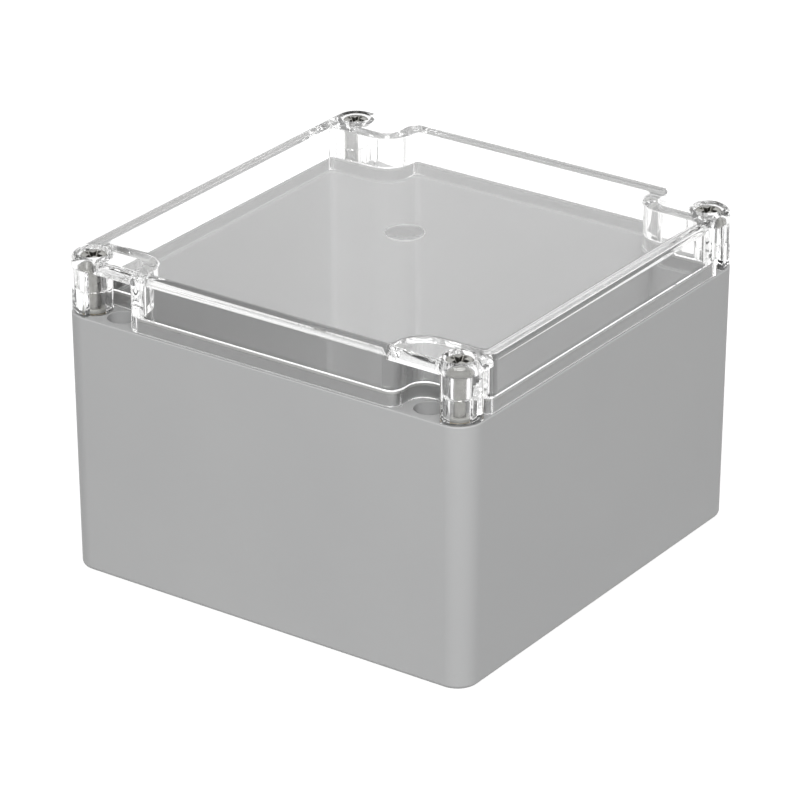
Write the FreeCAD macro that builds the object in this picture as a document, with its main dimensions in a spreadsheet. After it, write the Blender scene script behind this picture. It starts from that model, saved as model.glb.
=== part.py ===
import FreeCAD, Part
import math
import os

import Sketcher

# Sealed polycarbonate enclosure: a deep grey tub, a clear lid on a perimeter
# gasket, and four captive lid screws that turn into brass inserts.
# Millimetres, Z up, origin at the centre of the underside.
# X runs along the 120 mm side and Y along the 122 mm side.

SIZES = {
    # overall box, measured at the ledge where tub and lid meet
    "box_width": 120.0,
    "box_depth": 122.0,
    "base_height": 69.5,
    "lid_height": 15.5,
    "corner_radius": 6.5,
    "draft_angle": 0.55,
    # tub
    "base_wall": 4.0,
    "floor_thickness": 3.5,
    "bottom_edge_chamfer": 1.0,
    "cavity_corner_radius": 1.8,
    "foot_border": 14.0,
    "foot_recess_depth": 0.5,
    "foot_recess_radius": 5.0,
    # corner notches, left outside the seal for posts and fixing holes
    "notch_length": 20.0,
    "notch_depth": 10.0,
    "notch_radius": 4.0,
    "mouth_radius_front": 3.5,
    "mouth_radius_side": 1.5,
    "least_radius": 0.7,
    # tongue of the tub and groove of the lid
    "tongue_height": 3.1,
    "tongue_thickness": 1.2,
    "tongue_gap": 0.15,
    "gasket_height": 0.8,
    "gasket_gap": 0.02,
    # lid
    "lid_inset": 0.15,
    "lid_wall": 3.7,
    "skirt_thickness": 1.5,
    "skirt_gap": 0.1,
    "lip_gap": 0.3,
    "plate_thickness": 3.0,
    "lid_edge_radius": 2.0,
    "hollow_corner_radius": 1.6,
    "gate_diameter": 10.0,
    "gate_height": 0.8,
    # screw posts under the lid plate
    "screw_inset_x": 6.0,
    "screw_inset_y": 6.0,
    "post_diameter": 9.0,
    "post_corner_reach": 1.7,
    "shank_bore": 3.7,
    "pocket_diameter": 5.2,
    "pocket_height": 5.7,
    "head_seat_depth": 3.75,
    "head_gap": 0.3,
    # lid screws
    "head_diameter": 7.3,
    "head_height": 2.95,
    "waist_diameter": 3.1,
    "thread_diameter": 4.0,
    "thread_length": 4.4,
    "cross_length": 4.3,
    "cross_width": 1.1,
    "cross_depth": 2.0,
    # retaining rings
    "ring_thickness": 1.0,
    "ring_gap": 0.05,
    # threaded inserts
    "insert_width": 5.5,
    "insert_length": 6.0,
    "thread_clearance": 0.05,
    "insert_hole_depth": 8.0,
    # wall fixing holes
    "fixing_inset_x": 14.5,
    "fixing_inset_y": 6.0,
    "fixing_counterbore": 7.5,
    "fixing_bore": 4.5,
    "fixing_seat_height": 4.0,
    # bosses on the tub floor for a mounting plate or circuit board
    "boss_inset_x": 22.0,
    "boss_inset_y": 23.0,
    "boss_diameter": 7.0,
    "boss_height": 6.0,
    "boss_pilot": 2.9,
    "boss_pilot_depth": 7.0,
}

CORNERS = {
    "front_left": (-1, -1),
    "front_right": (1, -1),
    "rear_left": (-1, 1),
    "rear_right": (1, 1),
}

# Most of a notch's depth that its inner corner may take, and most of the rest
# that the corner at its mouth may take, so that the two never meet.
INNER_SHARE = 0.85
MOUTH_SHARE = 0.95

# Distance from a hexagon's middle to its corners, as a share of its width across flats
HEXAGON_SHARE = 1 / math.sqrt(3)

# How a sketch counts its own origin, and the points of a line, an arc or a circle
START_INDEX = 1
END_INDEX = 2
CENTRE_INDEX = 3
ORIGIN_POINT = (-1, START_INDEX)
UP = FreeCAD.Vector(0, 0, 1)

doc = FreeCAD.newDocument("enclosure")
sheet = doc.addObject("Spreadsheet::Sheet", "params")
for row, (alias, number) in enumerate(SIZES.items(), start=1):
    sheet.set("A%d" % row, alias)
    sheet.set("B%d" % row, str(number))
    sheet.setAlias("B%d" % row, alias)
doc.recompute()


# Sizes with their formulas

class Size:
    """A number together with the sheet formula that gives it."""

    def __init__(self, value, formula):
        self.value = value
        self.formula = formula

    def __add__(self, other):
        return Size(self.value + other.value, "(%s + %s)" % (self.formula, other.formula))

    def __sub__(self, other):
        return Size(self.value - other.value, "(%s - %s)" % (self.formula, other.formula))

    def __mul__(self, factor):
        return Size(self.value * factor, "(%s * %s)" % (self.formula, factor))

    def __truediv__(self, divisor):
        return Size(self.value / divisor, "(%s / %s)" % (self.formula, divisor))

    def __neg__(self):
        return Size(-self.value, "(-%s)" % self.formula)


def size(alias):
    return Size(float(sheet.get(alias)), "params." + alias)


def larger(first, second):
    return Size(max(first.value, second.value), "max(%s; %s)" % (first.formula, second.formula))


def smaller(first, second):
    return Size(min(first.value, second.value), "min(%s; %s)" % (first.formula, second.formula))


def bind(obj, property_name, amount):
    obj.setExpression(property_name, amount.formula)


ZERO = Size(0.0, "0")
half_width = size("box_width") / 2
half_depth = size("box_depth") / 2
ledge = size("base_height")
top = size("base_height") + size("lid_height")
plate_underside = top - size("plate_thickness")
head_seat = top - size("head_seat_depth")
groove_inset = size("skirt_thickness")
tongue_inset = groove_inset + size("tongue_gap")
tongue_top = ledge + size("tongue_height")
groove_ceiling = tongue_top + size("gasket_height")
groove_end_inset = tongue_inset + size("tongue_thickness") + size("tongue_gap")
screw_x = half_width - size("screw_inset_x")
screw_y = half_depth - size("screw_inset_y")
fixing_x = half_width - size("fixing_inset_x")
fixing_y = half_depth - size("fixing_inset_y")


# Bodies, sketches and features

def new_body(label):
    body = doc.addObject("PartDesign::Body", label)
    body.Label = label
    return body


def origin_plane(body, role):
    for feature in body.Origin.OriginFeatures:
        if feature.Role == role:
            return feature
    raise ValueError("no origin plane " + role)


def new_sketch(body, name, height=ZERO, role="XY_Plane"):
    sketch = body.newObject("Sketcher::SketchObject", name)
    sketch.AttachmentSupport = [(origin_plane(body, role), "")]
    sketch.MapMode = "FlatFace"
    bind(sketch, "AttachmentOffset.Base.z", height)
    return sketch


def add_bound(sketch, constraint_name, arguments, amount):
    number = sketch.addConstraint(Sketcher.Constraint(*arguments, abs(amount.value)))
    name = "%s_%d" % (constraint_name, number)
    sketch.renameConstraint(number, name)
    signed = amount if amount.value >= 0 else -amount
    bind(sketch, "Constraints." + name, signed)


def hold_at(sketch, axis, geometry, point, amount):
    """Fix one coordinate of a point to its distance from the sketch's origin."""
    kind = "Distance" + axis
    if amount.value >= 0:
        add_bound(sketch, kind.lower(), (kind, *ORIGIN_POINT, geometry, point), amount)
    else:
        add_bound(sketch, kind.lower(), (kind, geometry, point, *ORIGIN_POINT), amount)


def vector(x, y):
    return FreeCAD.Vector(x, y, 0)


def direction_between(first, second):
    step = vector(second[0].value - first[0].value, second[1].value - first[1].value)
    return step.normalize()


def rounded_outline(sketch, corners):
    """Draw a closed outline of level and upright lines, with an arc at each corner.

    A corner is (x, y, radius); the corners run anticlockwise, and one with no
    radius is sharp.
    """
    count = len(corners)
    points = [vector(x.value, y.value) for x, y, radius in corners]
    ways = [direction_between(corners[i], corners[(i + 1) % count]) for i in range(count)]
    lines = []
    for i in range(count):
        start = points[i] + ways[i] * corners[i][2].value
        end = points[(i + 1) % count] - ways[i] * corners[(i + 1) % count][2].value
        lines.append(sketch.addGeometry(Part.LineSegment(start, end)))
        upright = abs(ways[i].x) < abs(ways[i].y)
        sketch.addConstraint(Sketcher.Constraint("Vertical" if upright else "Horizontal", lines[i]))
        if upright:
            hold_at(sketch, "X", lines[i], START_INDEX, corners[i][0])
        else:
            hold_at(sketch, "Y", lines[i], START_INDEX, corners[i][1])
    for i in range(count):
        before = (i - 1) % count
        radius = corners[i][2]
        if radius.value == 0:
            sketch.addConstraint(Sketcher.Constraint(
                "Coincident", lines[before], END_INDEX, lines[i], START_INDEX))
            continue
        entry = points[i] - ways[before] * radius.value
        leaving = points[i] + ways[i] * radius.value
        centre = entry + ways[i] * radius.value
        turns_left = ways[before].cross(ways[i]).z > 0
        first, last = (entry, leaving) if turns_left else (leaving, entry)
        first_angle = math.atan2(first.y - centre.y, first.x - centre.x)
        last_angle = math.atan2(last.y - centre.y, last.x - centre.x)
        circle = Part.Circle(centre, UP, radius.value)
        arc = sketch.addGeometry(Part.ArcOfCircle(circle, first_angle, last_angle))
        entry_index, leaving_index = (START_INDEX, END_INDEX) if turns_left else (END_INDEX, START_INDEX)
        sketch.addConstraint(Sketcher.Constraint("Tangent", lines[before], END_INDEX, arc, entry_index))
        sketch.addConstraint(Sketcher.Constraint("Tangent", lines[i], START_INDEX, arc, leaving_index))
        add_bound(sketch, "radius", ("Radius", arc), radius)


def rectangle_corners(half_x, half_y, radius):
    return [
        (-half_x, -half_y, radius),
        (half_x, -half_y, radius),
        (half_x, half_y, radius),
        (-half_x, half_y, radius),
    ]


def mouth_radius(wanted, least, room):
    """Radius of a notch's corner at a face of the box.

    Where a least radius is given it holds, and elsewhere a corner that would
    come out too small to mould is sharp.
    """
    if least is not None:
        return smaller(larger(wanted, least), room)
    if wanted.value < size("least_radius").value:
        return ZERO
    return smaller(wanted, room)


def seal_corners(inset, least=None):
    """Corners of the sealed outline, which steps in round the four corner notches.

    The inset is measured inwards from the outer faces of the box.
    """
    x_face = half_width - inset
    y_face = half_depth - inset
    x_notch = half_width - size("notch_length") - inset
    y_notch = half_depth - size("notch_depth") - inset
    inner = smaller(size("notch_radius") + inset, size("notch_depth") * INNER_SHARE)
    room = (size("notch_depth") - inner) * MOUTH_SHARE
    front = mouth_radius(size("mouth_radius_front") - inset, least, room)
    side = mouth_radius(size("mouth_radius_side") - inset, least, room)
    return [
        (-x_notch, -y_face, front),
        (x_notch, -y_face, front),
        (x_notch, -y_notch, inner),
        (x_face, -y_notch, side),
        (x_face, y_notch, side),
        (x_notch, y_notch, inner),
        (x_notch, y_face, front),
        (-x_notch, y_face, front),
        (-x_notch, y_notch, inner),
        (-x_face, y_notch, side),
        (-x_face, -y_notch, side),
        (-x_notch, -y_notch, inner),
    ]


def circle_at(sketch, x, y, diameter):
    circle = sketch.addGeometry(Part.Circle(vector(x.value, y.value), UP, diameter.value / 2))
    add_bound(sketch, "diameter", ("Diameter", circle), diameter)
    if x.value == 0 and y.value == 0:
        sketch.addConstraint(Sketcher.Constraint("Coincident", circle, CENTRE_INDEX, *ORIGIN_POINT))
    else:
        hold_at(sketch, "X", circle, CENTRE_INDEX, x)
        hold_at(sketch, "Y", circle, CENTRE_INDEX, y)


def corner_circles(sketch, x, y, diameter):
    for side_x, side_y in CORNERS.values():
        circle_at(sketch, x if side_x > 0 else -x, y if side_y > 0 else -y, diameter)


def profile(sketch, points):
    """Draw a closed outline of straight lines through points given as (x, y) sizes."""
    count = len(points)
    lines = []
    for i in range(count):
        start = vector(points[i][0].value, points[i][1].value)
        end = vector(points[(i + 1) % count][0].value, points[(i + 1) % count][1].value)
        lines.append(sketch.addGeometry(Part.LineSegment(start, end)))
    for i in range(count):
        sketch.addConstraint(Sketcher.Constraint(
            "Coincident", lines[i - 1], END_INDEX, lines[i], START_INDEX))
        hold_at(sketch, "X", lines[i], START_INDEX, points[i][0])
        hold_at(sketch, "Y", lines[i], START_INDEX, points[i][1])


def hexagon_at(sketch, x, y, width):
    """Draw a hexagon with two of its flats along the X axis."""
    reach = width * HEXAGON_SHARE
    profile(sketch, [
        (x + reach, y), (x + reach / 2, y + width / 2), (x - reach / 2, y + width / 2),
        (x - reach, y), (x - reach / 2, y - width / 2), (x + reach / 2, y - width / 2),
    ])


def extrude(body, kind, name, sketch, length, reverse=False, taper=None):
    """Add a Pad or Pocket, and make sure that it changed the body the right way."""
    volume_before = body.Shape.Volume if body.Tip else 0.0
    feature = body.newObject("PartDesign::" + kind, name)
    feature.Profile = sketch
    feature.Reversed = reverse
    bind(feature, "Length", length)
    if taper is not None:
        bind(feature, "TaperAngle", taper)
    sketch.Visibility = False
    doc.recompute()
    check_change(body, name, kind == "Pad", volume_before)
    return feature


def turn(body, kind, name, sketch):
    volume_before = body.Shape.Volume if body.Tip else 0.0
    feature = body.newObject("PartDesign::" + kind, name)
    feature.Profile = sketch
    feature.ReferenceAxis = (sketch, ["V_Axis"])
    feature.Angle = 360.0
    doc.recompute()
    check_change(body, name, kind == "Revolution", volume_before)
    return feature


def check_change(body, name, grows, volume_before):
    change = body.Shape.Volume - volume_before
    if (change > 0) != grows or change == 0:
        raise RuntimeError("%s changed the volume by %.3f" % (name, change))


def dress(body, kind, name, property_name, amount, chosen):
    """Add a Fillet or Chamfer on the body's edges that the chosen test accepts."""
    base = body.Tip
    names = []
    for number, edge in enumerate(base.Shape.Edges, start=1):
        if chosen(edge):
            names.append("Edge%d" % number)
    if not names:
        raise RuntimeError("no edge for " + name)
    feature = body.newObject("PartDesign::" + kind, name)
    feature.Base = (base, names)
    bind(feature, property_name, amount)
    doc.recompute()
    if "Invalid" in feature.State:
        raise RuntimeError("failed: " + name)
    return feature


# Lengths that differ by less than this count as the same
SAME_LENGTH = 1e-4


def at_height(edge, height):
    box = edge.BoundBox
    return abs(box.ZMin - height.value) < SAME_LENGTH and abs(box.ZMax - height.value) < SAME_LENGTH


# Tub

def make_base():
    body = new_body("enclosure_base")
    outline = new_sketch(body, "base_outline", ledge)
    rounded_outline(outline, rectangle_corners(half_width, half_depth, size("corner_radius")))
    extrude(body, "Pad", "base_block", outline, ledge, reverse=True, taper=-size("draft_angle"))
    dress(body, "Chamfer", "bottom_edge", "Size", size("bottom_edge_chamfer"),
          lambda edge: at_height(edge, ZERO))

    cavity = new_sketch(body, "cavity_outline", ledge)
    rounded_outline(cavity, seal_corners(size("base_wall"), size("cavity_corner_radius")))
    extrude(body, "Pocket", "cavity", cavity, ledge - size("floor_thickness"))

    tongue = new_sketch(body, "tongue_outline", ledge)
    rounded_outline(tongue, seal_corners(tongue_inset))
    rounded_outline(tongue, seal_corners(tongue_inset + size("tongue_thickness")))
    extrude(body, "Pad", "tongue", tongue, size("tongue_height"))

    add_bosses(body)
    add_corner_holes(body)

    recess = new_sketch(body, "foot_recess_outline")
    rounded_outline(recess, rectangle_corners(half_width - size("foot_border"),
                                              half_depth - size("foot_border"),
                                              size("foot_recess_radius")))
    extrude(body, "Pocket", "foot_recess", recess, size("foot_recess_depth"), reverse=True)
    return body


def add_bosses(body):
    """Screw bosses that stand on the tub floor."""
    floor = size("floor_thickness")
    spot_x = half_width - size("boss_inset_x")
    spot_y = half_depth - size("boss_inset_y")
    bosses = new_sketch(body, "boss_circles", floor)
    corner_circles(bosses, spot_x, spot_y, size("boss_diameter"))
    extrude(body, "Pad", "bosses", bosses, size("boss_height"))
    pilots = new_sketch(body, "boss_pilot_circles", floor + size("boss_height"))
    corner_circles(pilots, spot_x, spot_y, size("boss_pilot"))
    extrude(body, "Pocket", "boss_pilots", pilots, size("boss_pilot_depth"))


def add_corner_holes(body):
    """Fixing holes through the tub, and the hexagonal holes that hold the inserts."""
    counterbores = new_sketch(body, "fixing_counterbore_circles", ledge)
    corner_circles(counterbores, fixing_x, fixing_y, size("fixing_counterbore"))
    extrude(body, "Pocket", "fixing_counterbores", counterbores,
            ledge - size("fixing_seat_height"))
    bores = new_sketch(body, "fixing_bore_circles", size("fixing_seat_height"))
    corner_circles(bores, fixing_x, fixing_y, size("fixing_bore"))
    extrude(body, "Pocket", "fixing_bores", bores, size("fixing_seat_height"))
    insert_holes = new_sketch(body, "insert_hole_hexagons", ledge)
    for side_x, side_y in CORNERS.values():
        hexagon_at(insert_holes, screw_x if side_x > 0 else -screw_x,
                   screw_y if side_y > 0 else -screw_y, size("insert_width"))
    extrude(body, "Pocket", "insert_holes", insert_holes, size("insert_hole_depth"))


# Lid

def make_lid():
    body = new_body("clear_lid")
    inset = size("lid_inset")
    plate = new_sketch(body, "plate_outline", plate_underside)
    rounded_outline(plate, rectangle_corners(half_width - inset, half_depth - inset,
                                             size("corner_radius") - inset))
    extrude(body, "Pad", "plate", plate, size("plate_thickness"))
    dress(body, "Fillet", "plate_edge", "Radius", size("lid_edge_radius"),
          lambda edge: at_height(edge, top))

    skirt_foot = ledge + size("skirt_gap")
    wall = new_sketch(body, "wall_outline", plate_underside)
    rounded_outline(wall, seal_corners(inset))
    extrude(body, "Pad", "wall_block", wall, plate_underside - skirt_foot, reverse=True)
    hollow = new_sketch(body, "hollow_outline", skirt_foot)
    rounded_outline(hollow, seal_corners(size("lid_wall"), size("hollow_corner_radius")))
    extrude(body, "Pocket", "hollow", hollow, plate_underside - skirt_foot, reverse=True)

    groove = new_sketch(body, "groove_outline", skirt_foot)
    rounded_outline(groove, seal_corners(groove_inset))
    rounded_outline(groove, seal_corners(groove_end_inset))
    extrude(body, "Pocket", "groove", groove, groove_ceiling - skirt_foot, reverse=True)
    lip = new_sketch(body, "lip_outline", skirt_foot)
    rounded_outline(lip, seal_corners(groove_end_inset))
    extrude(body, "Pocket", "lip_trim", lip, size("lip_gap"), reverse=True)

    add_posts(body)
    add_gate_mark(body)
    return body


def post_corner_outline(sketch, side_x, side_y):
    """Draw the part of a post that fills the corner out to the lid's own faces."""
    reach = size("post_corner_reach")
    inset = size("lid_inset")
    x_near, x_face = screw_x - reach, half_width - inset
    y_near, y_face = screw_y - reach, half_depth - inset
    corners = [
        (x_near, y_near, ZERO),
        (x_face, y_near, ZERO),
        (x_face, y_face, size("corner_radius") - inset),
        (x_near, y_face, ZERO),
    ]
    placed = [(x if side_x > 0 else -x, y if side_y > 0 else -y, radius) for x, y, radius in corners]
    rounded_outline(sketch, placed if side_x == side_y else placed[::-1])


def add_posts(body):
    """Screw posts that stand in the corner notches, with their stepped bores."""
    posts = new_sketch(body, "post_circles", ledge)
    corner_circles(posts, screw_x, screw_y, size("post_diameter"))
    extrude(body, "Pad", "posts", posts, plate_underside - ledge)
    post_corners = new_sketch(body, "post_corner_outlines", ledge)
    for side_x, side_y in CORNERS.values():
        post_corner_outline(post_corners, side_x, side_y)
    extrude(body, "Pad", "post_corners", post_corners, plate_underside - ledge)
    seats = new_sketch(body, "head_seat_circles", top)
    corner_circles(seats, screw_x, screw_y, size("head_diameter") + size("head_gap") * 2)
    extrude(body, "Pocket", "head_seats", seats, size("head_seat_depth"))
    bores = new_sketch(body, "shank_bore_circles", head_seat)
    corner_circles(bores, screw_x, screw_y, size("shank_bore"))
    extrude(body, "Pocket", "shank_bores", bores, head_seat - ledge)
    pockets = new_sketch(body, "ring_pocket_circles", ledge)
    corner_circles(pockets, screw_x, screw_y, size("pocket_diameter"))
    extrude(body, "Pocket", "ring_pockets", pockets, size("pocket_height"), reverse=True)


def add_gate_mark(body):
    """The round pad that the moulding gate leaves under the middle of the lid."""
    gate = new_sketch(body, "gate_circle", plate_underside)
    circle_at(gate, ZERO, ZERO, size("gate_diameter"))
    extrude(body, "Pad", "gate_mark", gate, size("gate_height"), reverse=True)


# Seal

def make_gasket():
    body = new_body("lid_gasket")
    foot = tongue_top + size("gasket_gap")
    ring = new_sketch(body, "gasket_outline", foot)
    rounded_outline(ring, seal_corners(groove_inset + size("gasket_gap")))
    rounded_outline(ring, seal_corners(groove_end_inset - size("gasket_gap")))
    extrude(body, "Pad", "gasket_ring", ring, groove_ceiling - foot)
    return body


# Corner hardware

def place_at_corner(body, corner, height):
    side_x, side_y = CORNERS[corner]
    bind(body, "Placement.Base.x", screw_x if side_x > 0 else -screw_x)
    bind(body, "Placement.Base.y", screw_y if side_y > 0 else -screw_y)
    bind(body, "Placement.Base.z", height)
    doc.recompute()


def make_screw(corner):
    """Pan head screw with a waisted shank, so that it stays in the lid."""
    body = new_body("lid_screw_" + corner)
    head = size("head_diameter") / 2
    waist = size("waist_diameter") / 2
    thread = size("thread_diameter") / 2 - size("thread_clearance")
    shoulder = ledge - head_seat
    tip = shoulder - size("thread_length")
    outline = new_sketch(body, "screw_profile_" + corner, role="XZ_Plane")
    profile(outline, [
        (ZERO, tip),
        (thread, tip),
        (thread, shoulder),
        (waist, shoulder),
        (waist, ZERO),
        (head, ZERO),
        (head, size("head_height")),
        (ZERO, size("head_height")),
    ])
    turn(body, "Revolution", "screw_turned_" + corner, outline)
    cross = new_sketch(body, "cross_outline_" + corner, size("head_height"))
    cross_corners(cross)
    extrude(body, "Pocket", "cross_recess_" + corner, cross, size("cross_depth"))
    place_at_corner(body, corner, head_seat)
    return body


def cross_corners(sketch):
    long = size("cross_length") / 2
    short = size("cross_width") / 2
    profile(sketch, [
        (-short, -long), (short, -long), (short, -short), (long, -short),
        (long, short), (short, short), (short, long), (-short, long),
        (-short, short), (-long, short), (-long, -short), (-short, -short),
    ])


def make_ring(corner):
    """Ring on the screw's waist, which the thread carries up to the bore's step."""
    body = new_body("retaining_ring_" + corner)
    inner = size("waist_diameter") / 2 + size("ring_gap")
    outer = size("pocket_diameter") / 2 - size("ring_gap") * 2
    thick = size("ring_thickness")
    outline = new_sketch(body, "ring_profile_" + corner, role="XZ_Plane")
    profile(outline, [
        (inner, ZERO),
        (outer, ZERO),
        (outer, thick),
        (inner, thick),
    ])
    turn(body, "Revolution", "ring_turned_" + corner, outline)
    place_at_corner(body, corner, ledge + size("ring_gap"))
    return body


def make_insert(corner):
    """Hexagonal brass insert, which its flats keep from turning in the tub."""
    body = new_body("threaded_insert_" + corner)
    outline = new_sketch(body, "insert_outline_" + corner)
    hexagon_at(outline, ZERO, ZERO, size("insert_width"))
    circle_at(outline, ZERO, ZERO, size("thread_diameter"))
    extrude(body, "Pad", "insert_body_" + corner, outline, size("insert_length"), reverse=True)
    place_at_corner(body, corner, ledge)
    return body


def main():
    bodies = [make_base(), make_lid(), make_gasket()]
    for corner in CORNERS:
        bodies.append(make_screw(corner))
        bodies.append(make_ring(corner))
        bodies.append(make_insert(corner))
    doc.recompute()
    for obj in doc.Objects:
        if "Invalid" in obj.State or "Error" in obj.State:
            raise RuntimeError("failed: " + obj.Label)
    for body in bodies:
        if body.Shape.isNull() or not body.Shape.isValid():
            raise RuntimeError("bad shape: " + body.Label)
        if len(body.Shape.Solids) != 1:
            raise RuntimeError("%s has %d solids" % (body.Label, len(body.Shape.Solids)))
    os.makedirs("parts", exist_ok=True)
    for body in bodies:
        body.Shape.exportStep(os.path.join("parts", body.Label + ".step"))
        box = body.Shape.BoundBox
        print("%-30s %9.1f mm3  x %.2f..%.2f  y %.2f..%.2f  z %.2f..%.2f" % (
            body.Label, body.Shape.Volume, box.XMin, box.XMax, box.YMin, box.YMax,
            box.ZMin, box.ZMax))


main()
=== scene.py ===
import math

import bmesh
import bpy
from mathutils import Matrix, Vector


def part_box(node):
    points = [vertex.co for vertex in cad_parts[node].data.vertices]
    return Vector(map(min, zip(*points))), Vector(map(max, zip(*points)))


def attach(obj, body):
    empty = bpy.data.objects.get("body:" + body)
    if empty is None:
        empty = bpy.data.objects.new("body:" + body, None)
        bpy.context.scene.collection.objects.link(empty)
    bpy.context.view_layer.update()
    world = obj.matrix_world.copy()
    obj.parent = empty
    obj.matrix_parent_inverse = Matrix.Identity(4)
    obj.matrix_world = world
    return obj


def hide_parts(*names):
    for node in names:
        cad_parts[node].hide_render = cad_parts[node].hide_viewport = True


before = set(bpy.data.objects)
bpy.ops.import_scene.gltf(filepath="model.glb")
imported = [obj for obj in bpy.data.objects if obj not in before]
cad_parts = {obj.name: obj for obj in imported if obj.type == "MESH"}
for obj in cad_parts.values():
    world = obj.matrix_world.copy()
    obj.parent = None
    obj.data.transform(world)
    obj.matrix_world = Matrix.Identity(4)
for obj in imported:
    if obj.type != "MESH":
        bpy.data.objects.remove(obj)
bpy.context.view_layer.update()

# Sealed polycarbonate box: a grey tub, a clear lid on a pale seal, and four
# captive steel screws in brass inserts. Metres, in the frame of the CAD model.
# The pieces repeat the CAD pieces, with the small radii and drafts of mouldings
# and with threads on the screws and inserts.

MM = 0.001
CORNERS = ("front_left", "front_right", "rear_left", "rear_right")

# Places that the frame gives
_, base_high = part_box("enclosure_base")
lid_low, lid_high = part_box("clear_lid")
seal_low, seal_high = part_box("lid_gasket")
HALF_WIDTH = base_high.x
HALF_DEPTH = base_high.y
LEDGE = lid_low.z
TONGUE_TOP = base_high.z
GROOVE_CEILING = seal_high.z
TOP = lid_high.z

# Tub
CORNER_RADIUS = 6.5 * MM
DRAFT = math.tan(math.radians(0.55))
BASE_WALL = 4.0 * MM
FLOOR_THICKNESS = 3.5 * MM
BOTTOM_EDGE = 1.2 * MM
LEDGE_EDGE = 0.35 * MM
FLOOR_FILLET = 1.0 * MM
FOOT_BORDER = 14.0 * MM
FOOT_RECESS = 0.5 * MM
FOOT_RADIUS = 5.0 * MM
BOSS_INSETS = (22.0 * MM, 23.0 * MM)
BOSS_RADIUS = 3.5 * MM
BOSS_TOP = 9.5 * MM
BOSS_FOOT = 1.0 * MM
PILOT_RADIUS = 1.45 * MM
PILOT_FLOOR = 2.5 * MM
FIXING_INSETS = (14.5 * MM, 6.0 * MM)
FIXING_COUNTERBORE = 3.75 * MM
FIXING_BORE = 2.25 * MM
FIXING_SEAT = 4.0 * MM

# Outline of the seal, which steps in round the four corner notches
NOTCH_LENGTH = 20.0 * MM
NOTCH_DEPTH = 10.0 * MM
NOTCH_RADIUS = 4.0 * MM
MOUTH_RADIUS_FRONT = 3.5 * MM
MOUTH_RADIUS_SIDE = 1.5 * MM

# What a notch's inner radius may take of its depth, and its mouth's of the rest
INNER_SHARE = 0.85
MOUTH_SHARE = 0.95

# Least radii of a notch's mouth, at the seal and at the lid's hollow
SEAL_LEAST = 0.6 * MM
HOLLOW_LEAST = 1.7 * MM

# Outer and inner faces of the tub's tongue and of the lid's groove, and the gap
# between the groove and the seal
TONGUE_INSETS = (1.65 * MM, 2.85 * MM)
GROOVE_INSETS = (1.5 * MM, 3.0 * MM)
SEAL_GAP = 0.02 * MM

# Lid
LID_INSET = 0.15 * MM
LID_WALL = 3.7 * MM
SKIRT_FOOT = LEDGE + 0.1 * MM
LIP_FOOT = LEDGE + 0.4 * MM
PLATE_UNDERSIDE = TOP - 3.0 * MM
LID_EDGE = 2.0 * MM
CEILING_FILLET = 0.5 * MM
GATE_RADIUS = 5.0 * MM
GATE_HEIGHT = 0.8 * MM
GATE_EDGE = 0.7 * MM
GATE_CROWN = 0.25 * MM
POST_RADIUS = 4.5 * MM
POST_DRAFT = math.tan(math.radians(1.0))
POST_FOOT = 0.35 * MM
POST_CORNER_REACH = 1.7 * MM
POST_SKIN = 0.01 * MM
SHANK_BORE = 1.85 * MM
POCKET_RADIUS = 2.6 * MM
POCKET_CEILING = LEDGE + 5.7 * MM
HEAD_SEAT = TOP - 3.75 * MM
SEAT_RADIUS = 3.95 * MM

# Lid screws, rings and inserts. The cross recess is given by half lengths and
# half widths, at its mouth and at its foot.
HEAD_RADIUS = 3.65 * MM
HEAD_TOP_RADIUS = 3.0 * MM
HEAD_RIM_HEIGHT = 1.9 * MM
HEAD_HEIGHT = 2.95 * MM
HEAD_CROWN = 1.0 * MM
CROSS_DEPTH = 1.9 * MM
CROSS_LENGTHS = (2.4 * MM, 0.8 * MM)
CROSS_WIDTHS = (0.72 * MM, 0.38 * MM)
WAIST_RADIUS = 1.55 * MM
RING_RADII = (1.6 * MM, 2.5 * MM)
RING_THICKNESS = 1.0 * MM
RING_GAP = 0.05 * MM
INSERT_WIDTH = 5.46 * MM
INSERT_LENGTH = 6.0 * MM
INSERT_HOLE_WIDTH = 5.5 * MM
INSERT_HOLE_DEPTH = 8.0 * MM

# Metric M4 thread. Its valley and slope are shares of half a pitch, and the rest
# is its crest.
THREAD_PITCH = 0.7 * MM
THREAD_ROOT = 1.55 * MM
THREAD_CREST = 1.95 * MM
THREAD_VALLEY = 0.15
THREAD_SLOPE = 0.62
THREAD_CLEARANCE = 0.05 * MM
THREAD_LENGTH = 4.4 * MM
THREAD_ROWS_PER_TURN = 12
THREAD_RUNOUT = 0.5 * MM

# Radii of the small edges
FINE_EDGE = 0.1 * MM
SOFT_EDGE = 0.2 * MM
LIP_EDGE = 0.25 * MM

# Divisions of arcs and circles
CORNER_STEPS = 10
EDGE_STEPS = 4
ROUND_STEPS = 8
COLUMNS = 48

# Joining and shading of the meshes
WELD_DISTANCE = 0.001 * MM
SMOOTH_ANGLE = math.radians(32.0)
FACE_AREA_WEIGHT = 100

# The camera, as solved from the photograph of 800 by 800 pixels
PHOTO_PIXELS = 800
FOCAL_PIXELS = 4438.0
SENSOR_WIDTH = 36.0
CAMERA_PLACE = Vector((0.5778, -0.82715, 0.5089))
CAMERA_AZIMUTH = math.radians(35.0)
CAMERA_ELEVATION = math.radians(25.0)

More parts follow.
